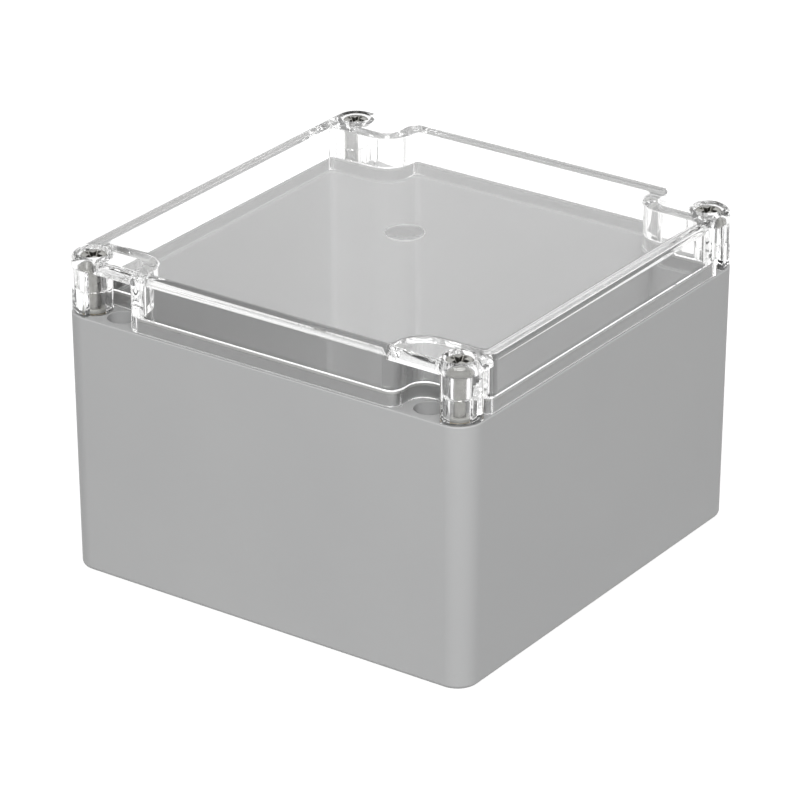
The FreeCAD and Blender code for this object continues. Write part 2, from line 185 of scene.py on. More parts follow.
# Colours, as linear red, green and blue
GREY_PLASTIC = (0.505, 0.508, 0.508)
GREY_PLASTIC_DEEP = (0.485, 0.488, 0.490)
CLEAR_TINT = (0.99, 0.99, 0.988)
CLEAR_SHADOW = (0.84, 0.84, 0.84)
GATE_TINT = (0.72, 0.72, 0.72)
SEAL_COLOUR = (0.86, 0.86, 0.85)
SEAL_DEEP = (0.76, 0.76, 0.74)
STEEL_COLOUR = (0.31, 0.307, 0.29)
# Darker steel: the clouds blend part of the way to it, and the cross recess takes it in full as
# painted shade
STEEL_CLOUD_AND_RECESS_SHADE = (0.10, 0.098, 0.09)
NYLON_COLOUR = (0.64, 0.64, 0.61)
NYLON_DEEP = (0.56, 0.56, 0.53)
BRASS_COLOUR = (0.60, 0.52, 0.38)
BRASS_DEEP = (0.50, 0.43, 0.30)

# Roughness, in one number or as a range over the material's noise
GREY_ROUGHNESS = (0.42, 0.52)
CLEAR_ROUGHNESS = (0.0, 0.03)
GATE_ROUGHNESS = (0.65, 0.75)
SEAL_ROUGHNESS = 0.75
STEEL_ROUGHNESS = (0.24, 0.4)
NYLON_ROUGHNESS = (0.3, 0.45)
BRASS_ROUGHNESS = (0.25, 0.42)

# Noise: the part of its range that is used, its features to the metre, and the
# depth of the relief that it makes
NOISE_RANGE = (0.3, 0.7)
MOULD_GRAIN = 2600.0
MOULD_GRAIN_DEPTH = 0.02 * MM
MOULD_WAVES = 60.0
MOULD_WAVE_DEPTH = 0.04 * MM
MOULD_CLOUDS = 22.0
CLEAR_WAVES = 45.0
CLEAR_WAVE_DEPTH = 0.01 * MM
CLEAR_HAZE = 35.0
FOAM_CELLS = 3200.0
FOAM_CELL_DEPTH = 0.06 * MM
FOAM_CLOUDS = 300.0
STEEL_MARKS = 900.0
STEEL_CLOUDS = 450.0
STEEL_CLOUDING = 0.4
NYLON_CLOUDS = 600.0
NYLON_CLOUD_DEPTH = 0.02 * MM
BRASS_MARKS = 120.0
BRASS_STRETCH = (1.0, 1.0, 30.0)
METAL_MARK_DEPTH = 0.01 * MM

# Refraction
GREY_IOR = 1.58
CLEAR_IOR = 1.585

# Light
WORLD_LEVEL = 0.38
LAMP_DISTANCE = 2.0
LAMP_WIDTH = 1.5
KEY_POWER = 38.0
KEY_ELEVATION = math.radians(42.0)
REAR_POWER = 5.0
FLOOR_REACH = 4.0
FLOOR_GAP = 0.02 * MM
FLOOR_GLOW = 0.8
FLOOR_SHADE = 0.45
FLOOR_COLOUR = 0.3
LIGHT_BOUNCES = 96


# Shader nodes

class Nodes:
    """A node tree, with short calls that add and join nodes."""

    def __init__(self, tree):
        self.tree = tree
        self.tree.nodes.clear()

    def add(self, kind, **settings):
        node = self.tree.nodes.new("ShaderNode" + kind)
        for name, value in settings.items():
            setattr(node, name, value)
        return node

    def feed(self, value, socket):
        """Join a node's output to a socket, or set the socket to a number or a colour."""
        if isinstance(value, bpy.types.NodeSocket):
            self.tree.links.new(value, socket)
        elif isinstance(value, tuple):
            socket.default_value = (*value, 1.0)
        else:
            socket.default_value = value

    def calculate(self, operation, first, second):
        node = self.add("Math", operation=operation)
        self.feed(first, node.inputs[0])
        self.feed(second, node.inputs[1])
        return node.outputs["Value"]

    def mix(self, kind, value, first, second):
        """The first number or colour where the value is 0, and the second where it is 1."""
        node = self.add("Mix", data_type=kind)
        self.feed(value, node.inputs["Factor"])
        self.feed(first, node.inputs["A"])
        self.feed(second, node.inputs["B"])
        return node.outputs["Result"]

    def blend(self, value, first, second):
        """Mix two colours by a value."""
        return self.mix("RGBA", value, first, second)

    def choose(self, value, first, second):
        """Mix two numbers by a value."""
        return self.mix("FLOAT", value, first, second)


class Shader(Nodes):
    """The nodes of a new material."""

    def __init__(self, name):
        self.material = bpy.data.materials.new(name)
        self.material.use_nodes = True
        super().__init__(self.material.node_tree)
        self.place = self.add("TexCoord").outputs["Object"]

    def stretched(self, scale):
        """The object's own place, with each axis scaled."""
        mapping = self.add("Mapping")
        mapping.inputs["Scale"].default_value = scale
        self.feed(self.place, mapping.inputs["Vector"])
        return mapping.outputs["Vector"]

    def noise(self, scale, detail=2.0, stretch=None):
        """Noise over the object's own place, with features of about 1 / scale metres."""
        texture = self.add("TexNoise")
        self.feed(scale, texture.inputs["Scale"])
        self.feed(detail, texture.inputs["Detail"])
        place = self.place if stretch is None else self.stretched(stretch)
        self.feed(place, texture.inputs["Vector"])
        return texture.outputs["Fac"]

    def spread(self, value, low, high):
        """Map a noise value onto a range of numbers."""
        node = self.add("MapRange")
        sources = (value, *NOISE_RANGE, low, high)
        for name, source in zip(("Value", "From Min", "From Max", "To Min", "To Max"), sources):
            self.feed(source, node.inputs[name])
        return node.outputs["Result"]

    def within(self, radius, low, high):
        """1 between two heights and nearer to the object's axis than a radius, and else 0."""
        reach = self.add("VectorMath", operation="LENGTH")
        self.feed(self.stretched((1.0, 1.0, 0.0)), reach.inputs[0])
        parts = self.add("SeparateXYZ")
        self.feed(self.place, parts.inputs["Vector"])
        height = parts.outputs["Z"]
        mask = self.calculate("LESS_THAN", reach.outputs["Value"], radius)
        for operation, limit in (("GREATER_THAN", low), ("LESS_THAN", high)):
            mask = self.calculate("MULTIPLY", mask, self.calculate(operation, height, limit))
        return mask

    def bump(self, height, depth, below=None):
        """The normal of a relief, on top of another one."""
        node = self.add("Bump")
        self.feed(1.0, node.inputs["Strength"])
        self.feed(depth, node.inputs["Distance"])
        self.feed(height, node.inputs["Height"])
        if below is not None:
            self.feed(below, node.inputs["Normal"])
        return node.outputs["Normal"]

    def surface(self, **sockets):
        """A Principled surface; each socket takes a number, a colour or a node's output."""
        node = self.add("BsdfPrincipled")
        for name, value in sockets.items():
            self.feed(value, node.inputs[name.replace("_", " ")])
        return node.outputs["BSDF"]

    def plain(self, kind, colour):
        """A surface of another kind, in one colour."""
        node = self.add(kind)
        self.feed(colour, node.inputs["Color"])
        return node.outputs["BSDF"]

    def mix_surfaces(self, value, first, second):
        node = self.add("MixShader")
        for number, source in enumerate((value, first, second)):
            self.feed(source, node.inputs[number])
        return node.outputs["Shader"]

    def finish(self, surface):
        output = self.add("OutputMaterial")
        self.feed(surface, output.inputs["Surface"])
        return self.material


# Materials

def grey_polycarbonate():
    """Opaque grey plastic with the fine spark-eroded grain of the mould."""
    shader = Shader("grey_polycarbonate")
    cloud = shader.noise(MOULD_CLOUDS)
    grain = shader.noise(MOULD_GRAIN, detail=3.0)
    waves = shader.noise(MOULD_WAVES)
    relief = shader.bump(waves, MOULD_WAVE_DEPTH)
    return shader.finish(shader.surface(
        Base_Color=shader.blend(shader.spread(cloud, 0.0, 1.0), GREY_PLASTIC, GREY_PLASTIC_DEEP),
        Roughness=shader.spread(grain, *GREY_ROUGHNESS),
        IOR=GREY_IOR,
        Normal=shader.bump(grain, MOULD_GRAIN_DEPTH, below=relief),
    ))


def clear_polycarbonate():
    """Polished clear plastic with faint flow waves and a matt gate pad.

    Light passes straight through it to what is behind.
    """
    shader = Shader("clear_polycarbonate")
    haze = shader.noise(CLEAR_HAZE)
    waves = shader.noise(CLEAR_WAVES, detail=1.0)
    grain = shader.noise(MOULD_GRAIN, detail=3.0)
    on_gate = shader.within(GATE_RADIUS, LEDGE, PLATE_UNDERSIDE - FINE_EDGE)
    polished = shader.spread(haze, *CLEAR_ROUGHNESS)
    matt = shader.spread(grain, *GATE_ROUGHNESS)
    plastic = shader.surface(
        Base_Color=shader.blend(on_gate, CLEAR_TINT, GATE_TINT),
        Roughness=shader.choose(on_gate, polished, matt),
        IOR=CLEAR_IOR,
        Transmission_Weight=1.0,
        Normal=shader.bump(waves, CLEAR_WAVE_DEPTH),
    )
    in_shadow = shader.add("LightPath").outputs["Is Shadow Ray"]
    passing = shader.plain("BsdfTransparent", CLEAR_SHADOW)
    return shader.finish(shader.mix_surfaces(in_shadow, plastic, passing))


def seal_foam():
    shader = Shader("seal_foam")
    cells = shader.noise(FOAM_CELLS, detail=3.0)
    cloud = shader.noise(FOAM_CLOUDS)
    return shader.finish(shader.surface(
        Base_Color=shader.blend(shader.spread(cloud, 0.0, 1.0), SEAL_COLOUR, SEAL_DEEP),
        Roughness=SEAL_ROUGHNESS,
        Normal=shader.bump(cells, FOAM_CELL_DEPTH),
    ))


def turned_steel():
    """Steel with fine marks and clouds, and painted shade that darkens its cross recess."""
    shader = Shader("turned_steel")
    marks = shader.noise(STEEL_MARKS, detail=4.0)
    cloud = shader.noise(STEEL_CLOUDS)
    crown = HEAD_SEAT - LEDGE + HEAD_HEIGHT
    # Painted shade: the cross recess gets the darker steel colour in full
    recess_shade_mask = shader.within(
        HEAD_TOP_RADIUS, crown - CROSS_DEPTH - SOFT_EDGE, crown - FINE_EDGE / 2)
    cloud_and_recess_shade = shader.choose(recess_shade_mask, shader.spread(cloud, 0.0, STEEL_CLOUDING), 1.0)
    return shader.finish(shader.surface(
        Base_Color=shader.blend(cloud_and_recess_shade, STEEL_COLOUR, STEEL_CLOUD_AND_RECESS_SHADE),
        Metallic=1.0,
        Roughness=shader.spread(marks, *STEEL_ROUGHNESS),
        Normal=shader.bump(marks, METAL_MARK_DEPTH),
    ))


def natural_nylon():
    shader = Shader("natural_nylon")
    cloud = shader.noise(NYLON_CLOUDS)
    return shader.finish(shader.surface(
        Base_Color=shader.blend(shader.spread(cloud, 0.0, 1.0), NYLON_COLOUR, NYLON_DEEP),
        Roughness=shader.spread(cloud, *NYLON_ROUGHNESS),
        Normal=shader.bump(cloud, NYLON_CLOUD_DEPTH),
    ))


def turned_brass():
    shader = Shader("turned_brass")
    marks = shader.noise(BRASS_MARKS, detail=3.0, stretch=BRASS_STRETCH)
    return shader.finish(shader.surface(
        Base_Color=shader.blend(shader.spread(marks, 0.0, 1.0), BRASS_COLOUR, BRASS_DEEP),
        Metallic=1.0,
        Roughness=shader.spread(marks, *BRASS_ROUGHNESS),
        Normal=shader.bump(marks, METAL_MARK_DEPTH),
    ))


def paint(obj, material):
    obj.data.materials.clear()
    obj.data.materials.append(material)


# Outlines

def rounded(corners, steps, closed=True):
    """Points of an outline whose corners, given as (x, y, radius), are arcs.

    A corner with no radius, or at the end of an open outline, is one point.
    """
    points = []
    last = len(corners) - 1
    for number, (x, y, radius) in enumerate(corners):
        here = Vector((x, y))
        if radius <= 0 or (not closed and number in (0, last)):
            points.append(here)
            continue
        back = (Vector(corners[number - 1][:2]) - here).normalized()
        ahead = (Vector(corners[(number + 1) % len(corners)][:2]) - here).normalized()
        half = back.angle(ahead) / 2
        centre = here + (back + ahead).normalized() * radius / math.sin(half)
        start = here + back * radius / math.tan(half) - centre
        end = here + ahead * radius / math.tan(half) - centre
        sweep = math.pi - 2 * half
        for step in range(steps + 1):
            angle = sweep * step / steps
            spoke = start * math.sin(sweep - angle) + end * math.sin(angle)
            points.append(centre + spoke / math.sin(sweep))
    return points


def mirrored(quarter):
    """All four quarters of an outline, anticlockwise, from the one at +X +Y."""
    flipped = [(-x, y, radius) for x, y, radius in reversed(quarter)]
    turned = [(-x, -y, radius) for x, y, radius in quarter]
    lower = [(x, -y, radius) for x, y, radius in reversed(quarter)]
    return quarter + flipped + turned + lower


def box_loop(inset, radius=None):
    """The box's outer outline, moved inwards."""
    if radius is None:
        radius = CORNER_RADIUS - inset
    return rounded(mirrored([(HALF_WIDTH - inset, HALF_DEPTH - inset, radius)]), CORNER_STEPS)


def seal_radii(inset):
    """Radii of the seal's outline: in the notch, and at its front and side mouths."""
    inner = min(NOTCH_RADIUS + inset, NOTCH_DEPTH * INNER_SHARE)
    room = (NOTCH_DEPTH - inner) * MOUTH_SHARE
    share = (inset - GROOVE_INSETS[1]) / (LID_WALL - GROOVE_INSETS[1])
    least = SEAL_LEAST + (HOLLOW_LEAST - SEAL_LEAST) * min(max(share, 0.0), 1.0)
    front = min(max(MOUTH_RADIUS_FRONT - inset, least), room)
    side = min(max(MOUTH_RADIUS_SIDE - inset, least), room)
    return inner, front, side


def seal_loop(inset):
    """The sealed outline, which steps in round the four corner notches."""
    inner, front, side = seal_radii(inset)
    x_notch = HALF_WIDTH - NOTCH_LENGTH - inset
    y_notch = HALF_DEPTH - NOTCH_DEPTH - inset
    return rounded(mirrored([
        (HALF_WIDTH - inset, y_notch, side),
        (x_notch, y_notch, inner),
        (x_notch, HALF_DEPTH - inset, front),
    ]), CORNER_STEPS)


def plate_loop(inset):
    """The lid plate's outline, with points where the seal's outline leaves it."""
    _, front, side = seal_radii(LID_INSET)
    x_leave = HALF_WIDTH - NOTCH_LENGTH - LID_INSET - front
    y_leave = HALF_DEPTH - NOTCH_DEPTH - LID_INSET - side
    x_face = HALF_WIDTH - inset
    y_face = HALF_DEPTH - inset
    return rounded(mirrored([
        (x_face, y_leave, 0.0),
        (x_face, y_face, CORNER_RADIUS - inset),
        (x_leave, y_face, 0.0),
    ]), CORNER_STEPS)


def recess_loop(inset):
    """The outline of the recess in the underside."""
    return box_loop(inset, FOOT_RADIUS + FOOT_BORDER - inset)


def circle_loop(radius, centre=(0.0, 0.0)):
    angles = [math.tau * column / COLUMNS for column in range(COLUMNS)]
    return [(centre[0] + radius * math.cos(angle), centre[1] + radius * math.sin(angle))
            for angle in angles]


def hexagon_loop(width, centre=(0.0, 0.0)):
    reach = width / math.sqrt(3)
    angles = [math.tau * corner / 6 for corner in range(6)]
    return [(centre[0] + reach * math.cos(angle), centre[1] + reach * math.sin(angle))
            for angle in angles]


def cross_loop(length, width):
    """The cross recess in a screw head, from half lengths and half widths."""
    return rounded(mirrored([
        (length, width, width / 2),
        (width, width, width / 3),
        (width, length, width / 2),
    ]), EDGE_STEPS)


def four_spots(insets):
    """The four places at the same insets from the faces of the box."""
    x = HALF_WIDTH - insets[0]
    y = HALF_DEPTH - insets[1]
    return [(-x, -y), (x, -y), (-x, y), (x, y)]


# Meshes

class Shell:
    """A closed mesh, made of rings of points that are skinned and flat faces between them."""

    def __init__(self):
        self.mesh = bmesh.new()

    def ring(self, outline, height):
        return [self.mesh.verts.new((x, y, height)) for x, y in outline]

    def skin(self, rings, closed=False):
        following = rings[1:] + rings[:1] if closed else rings[1:]
        for lower, upper in zip(rings, following):
            for number in range(len(lower)):
                after = (number + 1) % len(lower)
                self.mesh.faces.new((lower[number], lower[after], upper[after], upper[number]))
        return rings

    def sweep(self, outline_at, profile, steps=EDGE_STEPS, closed=False):
        """Skin an outline along a profile of (inset, height, radius) corners."""
        points = rounded(profile, steps, closed)
        return self.skin([self.ring(outline_at(inset), height) for inset, height in points], closed)

    def turn(self, profile, centre=(0.0, 0.0), steps=EDGE_STEPS, closed=False):
        """Skin circles about a centre along a profile of (radius, height, radius) corners."""
        return self.sweep(lambda radius: circle_loop(radius, centre), profile, steps, closed)

    def fill(self, *rings):
        """Close the flat region inside the first ring and outside the others."""
        edges = []
        for ring in rings:
            for number in range(len(ring)):
                pair = (ring[number - 1], ring[number])
                edges.append(self.mesh.edges.get(pair) or self.mesh.edges.new(pair))
        self.fill_edges(edges)

    def fill_edges(self, edges):
        bmesh.ops.triangle_fill(self.mesh, use_beauty=True, use_dissolve=False, edges=edges)

    def open_edges(self, height, side_x, side_y):
        """Edges with one face at a height, in one quarter of the plan."""
        chosen = []
        for edge in self.mesh.edges:
            first, second = edge.verts
            level = abs(first.co.z - height) + abs(second.co.z - height) < WELD_DISTANCE
            middle = first.co + second.co
            if edge.is_boundary and level and middle.x * side_x > 0 and middle.y * side_y > 0:
                chosen.append(edge)
        return chosen

    def weld(self):
        bmesh.ops.remove_doubles(self.mesh, verts=self.mesh.verts, dist=WELD_DISTANCE)

    def data(self, name):
        bmesh.ops.recalc_face_normals(self.mesh, faces=self.mesh.faces)
        data = bpy.data.meshes.new(name)
        self.mesh.to_mesh(data)
        self.mesh.free()
        return data

    def finish(self, name):
        return smoothed(self.data(name))


def smoothed(data):
    data.shade_smooth()
    data.set_sharp_from_angle(angle=SMOOTH_ANGLE)
    return data


def cut_and_joined(data, changes):
    """The mesh after closed meshes are joined to it or cut out of it, in their order."""
    scratch = [bpy.data.objects.new("blank", data)]
    for operation, other in changes:
        scratch.append(bpy.data.objects.new(operation, other))
        change = scratch[0].modifiers.new(operation, "BOOLEAN")
        change.operation = operation
        change.solver = "EXACT"
        change.object = scratch[-1]
    for obj in scratch:
        bpy.context.scene.collection.objects.link(obj)
    graph = bpy.context.evaluated_depsgraph_get()
    result = bpy.data.meshes.new_from_object(scratch[0].evaluated_get(graph), depsgraph=graph)
    for obj in scratch:
        bpy.data.objects.remove(obj)
    return result


def new_piece(name, data, material, body, node, place=(0.0, 0.0, 0.0)):
    """Add a piece that stands for a CAD node and moves with its body."""
    piece = bpy.data.objects.new(name, data)
    piece.location = place
    bpy.context.scene.collection.objects.link(piece)
    paint(piece, material)
    normals = piece.modifiers.new("level_faces", "WEIGHTED_NORMAL")
    normals.keep_sharp = True
    normals.weight = FACE_AREA_WEIGHT
    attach(piece, body)
    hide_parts(node)
    return piece


# Tub

def tub_mesh():
    shell = Shell()
    foot_inset = LEDGE * DRAFT
    outside = shell.sweep(box_loop, [
        (foot_inset + BOTTOM_EDGE + SOFT_EDGE, 0.0, 0.0),
        (foot_inset, 0.0, BOTTOM_EDGE),
        (0.0, LEDGE, LEDGE_EDGE),
        (LEDGE_EDGE + SOFT_EDGE, LEDGE, 0.0),
    ], ROUND_STEPS)
    wall_foot = BASE_WALL + (LEDGE - FLOOR_THICKNESS) * DRAFT
    inside = shell.sweep(seal_loop, [
        (TONGUE_INSETS[0] - SOFT_EDGE, LEDGE, 0.0),
        (TONGUE_INSETS[0], LEDGE, FINE_EDGE),
        (TONGUE_INSETS[0], TONGUE_TOP, LIP_EDGE),
        (TONGUE_INSETS[1], TONGUE_TOP, LIP_EDGE),
        (TONGUE_INSETS[1], LEDGE, FINE_EDGE),
        (BASE_WALL, LEDGE, LIP_EDGE),
        (wall_foot, FLOOR_THICKNESS, FLOOR_FILLET),
        (wall_foot + FLOOR_FILLET + SOFT_EDGE, FLOOR_THICKNESS, 0.0),
    ])
    recess = shell.sweep(recess_loop, [
        (FOOT_BORDER - SOFT_EDGE, 0.0, 0.0),
        (FOOT_BORDER, 0.0, FINE_EDGE),
        (FOOT_BORDER, FOOT_RECESS, FINE_EDGE),
        (FOOT_BORDER + SOFT_EDGE, FOOT_RECESS, 0.0),
    ])
    fixings = [shell.turn([
        (FIXING_COUNTERBORE + SOFT_EDGE, LEDGE, 0.0),
        (FIXING_COUNTERBORE, LEDGE, FINE_EDGE),
        (FIXING_COUNTERBORE, FIXING_SEAT, SOFT_EDGE),
        (FIXING_BORE, FIXING_SEAT, FINE_EDGE),
        (FIXING_BORE, 0.0, FINE_EDGE),
        (FIXING_BORE + SOFT_EDGE, 0.0, 0.0),
    ], spot) for spot in four_spots(FIXING_INSETS)]
    bosses = [shell.turn([
        (BOSS_RADIUS + BOSS_FOOT + SOFT_EDGE, FLOOR_THICKNESS, 0.0),
        (BOSS_RADIUS, FLOOR_THICKNESS, BOSS_FOOT),
        (BOSS_RADIUS, BOSS_TOP, SOFT_EDGE),
        (PILOT_RADIUS, BOSS_TOP, FINE_EDGE),
        (PILOT_RADIUS, PILOT_FLOOR, SOFT_EDGE),
        (PILOT_RADIUS / 2, PILOT_FLOOR, 0.0),
    ], spot) for spot in four_spots(BOSS_INSETS)]
    sockets = []
    for corner in CORNERS:
        spot = corner_spot(corner)
        rings = [shell.ring(hexagon_loop(INSERT_HOLE_WIDTH, spot), LEDGE - depth)
                 for depth in (0.0, INSERT_HOLE_DEPTH)]
        sockets.append(shell.skin(rings))
        shell.fill(rings[1])
    shell.fill(outside[-1], inside[0], *[rings[0] for rings in fixings + sockets])
    shell.fill(inside[-1], *[rings[0] for rings in bosses])
    shell.fill(outside[0], recess[0], *[rings[-1] for rings in fixings])
    shell.fill(recess[-1])
    for rings in bosses:
        shell.fill(rings[-1])
    return shell.finish("tub")


def corner_spot(corner):
    """The axis of a corner's screw, from its CAD node."""
    low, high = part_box("lid_screw_" + corner)
    return (low.x + high.x) / 2, (low.y + high.y) / 2


# Lid

def plate_and_skirt():
    """The lid without its posts."""
    shell = Shell()
    plate = shell.sweep(plate_loop, [
        (LID_INSET, PLATE_UNDERSIDE, 0.0),
        (LID_INSET, TOP, LID_EDGE),
        (LID_INSET + LID_EDGE + SOFT_EDGE, TOP, 0.0),
    ], ROUND_STEPS)
    wall_top = LID_WALL + (PLATE_UNDERSIDE - LIP_FOOT) * DRAFT
    skirt = shell.sweep(seal_loop, [
        (LID_INSET, PLATE_UNDERSIDE, 0.0),
        (LID_INSET, SKIRT_FOOT, LIP_EDGE),
        (GROOVE_INSETS[0], SKIRT_FOOT, FINE_EDGE),
        (GROOVE_INSETS[0], GROOVE_CEILING, FINE_EDGE),
        (GROOVE_INSETS[1], GROOVE_CEILING, FINE_EDGE),
        (GROOVE_INSETS[1], LIP_FOOT, FINE_EDGE),
        (LID_WALL, LIP_FOOT, SOFT_EDGE),
        (wall_top, PLATE_UNDERSIDE, CEILING_FILLET),
        (wall_top + CEILING_FILLET + SOFT_EDGE, PLATE_UNDERSIDE, 0.0),
    ], ROUND_STEPS)
    pad = PLATE_UNDERSIDE - GATE_HEIGHT
    gate = shell.turn([
        (GATE_RADIUS + SOFT_EDGE, PLATE_UNDERSIDE, 0.0),
        (GATE_RADIUS, PLATE_UNDERSIDE, FINE_EDGE),
        (GATE_RADIUS, pad + GATE_CROWN, GATE_EDGE - GATE_CROWN),
        (GATE_RADIUS / 2, pad, GATE_RADIUS),
        (GATE_RADIUS / 8, pad, 0.0),
    ])
    shell.fill(plate[-1])
    shell.fill(skirt[-1], gate[0])
    shell.fill(gate[-1])
    shell.weld()
    for side_x in (-1, 1):
        for side_y in (-1, 1):
            shell.fill_edges(shell.open_edges(PLATE_UNDERSIDE, side_x, side_y))
    return shell.data("plate")


def corner_columns(profile):
    """The same turned solid about each of the four screw axes."""
    shell = Shell()
    for corner in CORNERS:
        rings = shell.turn(profile, corner_spot(corner))
        shell.fill(rings[0])
        shell.fill(rings[-1])
    return shell.data("columns")


def post_corner_loop(spot, inset):
    """The part of a post that fills the corner out to the lid's own faces."""
    margin = LID_INSET + POST_SKIN + inset
    x_near = abs(spot[0]) - POST_CORNER_REACH + inset
    y_near = abs(spot[1]) - POST_CORNER_REACH + inset
    outline = rounded([
        (x_near, y_near, 0.0),
        (HALF_WIDTH - margin, y_near, POST_FOOT),
        (HALF_WIDTH - margin, HALF_DEPTH - margin, CORNER_RADIUS - margin),
        (x_near, HALF_DEPTH - margin, POST_FOOT),
    ], CORNER_STEPS)
    return [(math.copysign(x, spot[0]), math.copysign(y, spot[1])) for x, y in outline]


def post_corners():
    shell = Shell()
    for corner in CORNERS:
        spot = corner_spot(corner)
        rings = shell.sweep(lambda inset: post_corner_loop(spot, inset), [
            (POST_FOOT + SOFT_EDGE, LEDGE, 0.0),
            (0.0, LEDGE, POST_FOOT),
            (0.0, PLATE_UNDERSIDE + POST_FOOT, 0.0),
        ])
        shell.fill(rings[0])
        shell.fill(rings[-1])
    return shell.data("post_corners")


def lid_mesh():
    post_top = POST_RADIUS + (PLATE_UNDERSIDE - LEDGE) * POST_DRAFT
    posts = corner_columns([
        (POCKET_RADIUS / 2, LEDGE, 0.0),
        (POST_RADIUS, LEDGE, POST_FOOT),
        (post_top, PLATE_UNDERSIDE - POST_FOOT, 0.0),
        (post_top + POST_FOOT * 2, PLATE_UNDERSIDE + POST_FOOT, 0.0),
    ])
    bores = corner_columns([
        (POCKET_RADIUS, LEDGE - POST_FOOT, 0.0),
        (POCKET_RADIUS, POCKET_CEILING, FINE_EDGE),
        (SHANK_BORE, POCKET_CEILING, FINE_EDGE),
        (SHANK_BORE, HEAD_SEAT, FINE_EDGE),
        (SEAT_RADIUS, HEAD_SEAT, FINE_EDGE),
        (SEAT_RADIUS, TOP - SOFT_EDGE, 0.0),
        (SEAT_RADIUS + SOFT_EDGE * 2, TOP + SOFT_EDGE, 0.0),
    ])
    return smoothed(cut_and_joined(plate_and_skirt(), [
        ("UNION", posts), ("UNION", post_corners()), ("DIFFERENCE", bores)]))


# Seal

def seal_mesh():
    shell = Shell()
    outer = GROOVE_INSETS[0] + SEAL_GAP
    inner = GROOVE_INSETS[1] - SEAL_GAP
    top = GROOVE_CEILING - SEAL_GAP
    shell.sweep(seal_loop, [
        (outer, seal_low.z, FINE_EDGE),
        (inner, seal_low.z, FINE_EDGE),
        (inner, top, FINE_EDGE),
        (outer, top, FINE_EDGE),
    ], closed=True)
    return shell.finish("seal")


# Corner hardware, each piece about its own axis with its zero height at the ledge

def thread_radius(angle, height, clearance=0.0):
    """Distance of the thread's flank from the axis; a turn anticlockwise is a pitch higher."""
    phase = (height / THREAD_PITCH - angle / math.tau) % 1.0
    flank = 1.0 - abs(2.0 * phase - 1.0)
    share = min(1.0, max(0.0, (flank - THREAD_VALLEY) / THREAD_SLOPE))
    return THREAD_ROOT + (THREAD_CREST - THREAD_ROOT) * share + clearance


def thread_rings(shell, low, high, clearance=0.0, runouts=(0.0, 0.0)):
    """Rings of a thread between two heights, which fades out over a runout at each end."""
    count = round((high - low) / THREAD_PITCH * THREAD_ROWS_PER_TURN)
    rings = []
    for row in range(count + 1):
        height = low + (high - low) * row / count
        fade = 1.0
        if runouts[0] > 0:
            fade = min(fade, (height - low) / runouts[0])
        if runouts[1] > 0:
            fade = min(fade, (high - height) / runouts[1])
        outline = []
        for column in range(COLUMNS):
            angle = math.tau * column / COLUMNS
            full = thread_radius(angle, height, clearance)
            radius = THREAD_ROOT + (full - THREAD_ROOT) * fade
            outline.append((radius * math.cos(angle), radius * math.sin(angle)))
        rings.append(shell.ring(outline, height))
    return rings


def screw_mesh():
    """Pan head screw with a cross recess, a waist and an M4 thread."""
    shell = Shell()
    seat = HEAD_SEAT - LEDGE
    crown = seat + HEAD_HEIGHT
    thread = thread_rings(shell, -THREAD_LENGTH, 0.0, runouts=(THREAD_RUNOUT, THREAD_RUNOUT))
    shell.skin(thread)
    tip = shell.ring(circle_loop(THREAD_ROOT - FINE_EDGE), -THREAD_LENGTH - FINE_EDGE / 2)
    shell.skin([tip, thread[0]])
    shell.fill(tip)
    shank = shell.turn([
        (WAIST_RADIUS, FINE_EDGE, 0.0),
        (WAIST_RADIUS, seat, FINE_EDGE),
        (HEAD_RADIUS, seat, SOFT_EDGE),
        (HEAD_RADIUS, seat + HEAD_RIM_HEIGHT, HEAD_CROWN / 2),
        (HEAD_TOP_RADIUS + SOFT_EDGE, crown - FINE_EDGE / 2, HEAD_CROWN / 2),
        (HEAD_TOP_RADIUS - SOFT_EDGE, crown, 0.0),
    ], steps=ROUND_STEPS)
    shell.skin([thread[-1], shank[0]])
    recess = []
    for row in range(EDGE_STEPS + 1):
        share = row / EDGE_STEPS
        length = CROSS_LENGTHS[0] + (CROSS_LENGTHS[1] - CROSS_LENGTHS[0]) * share
        width = CROSS_WIDTHS[0] + (CROSS_WIDTHS[1] - CROSS_WIDTHS[0]) * share
        recess.append(shell.ring(cross_loop(length, width), crown - CROSS_DEPTH * share))
    shell.skin(recess)
    shell.fill(recess[-1])
    shell.fill(shank[-1], recess[0])
    return shell.finish("screw")


def ring_mesh():
    shell = Shell()
    low = RING_GAP
    high = RING_GAP + RING_THICKNESS
    shell.turn([
        (RING_RADII[0], low, FINE_EDGE),
        (RING_RADII[1], low, SOFT_EDGE),
        (RING_RADII[1], high, SOFT_EDGE),
        (RING_RADII[0], high, FINE_EDGE),
    ], closed=True)
    return shell.finish("ring")


def insert_mesh():
    """Hexagonal insert with bevelled ends and an M4 thread."""
    shell = Shell()
    outline = shell.skin([
        shell.ring(hexagon_loop(INSERT_WIDTH - SOFT_EDGE * 2), -INSERT_LENGTH),
        shell.ring(hexagon_loop(INSERT_WIDTH), SOFT_EDGE - INSERT_LENGTH),
        shell.ring(hexagon_loop(INSERT_WIDTH), -SOFT_EDGE),
        shell.ring(hexagon_loop(INSERT_WIDTH - SOFT_EDGE * 2), 0.0),
    ])
    countersink = THREAD_CREST + THREAD_CLEARANCE + SOFT_EDGE
    depth = countersink - THREAD_ROOT
    thread = thread_rings(shell, depth - INSERT_LENGTH, -depth, clearance=THREAD_CLEARANCE)
    lower = shell.ring(circle_loop(countersink), -INSERT_LENGTH)
    upper = shell.ring(circle_loop(countersink), 0.0)
    shell.skin([lower, *thread, upper])
    shell.fill(outline[0], lower)
    shell.fill(outline[-1], upper)
    return shell.finish("insert")


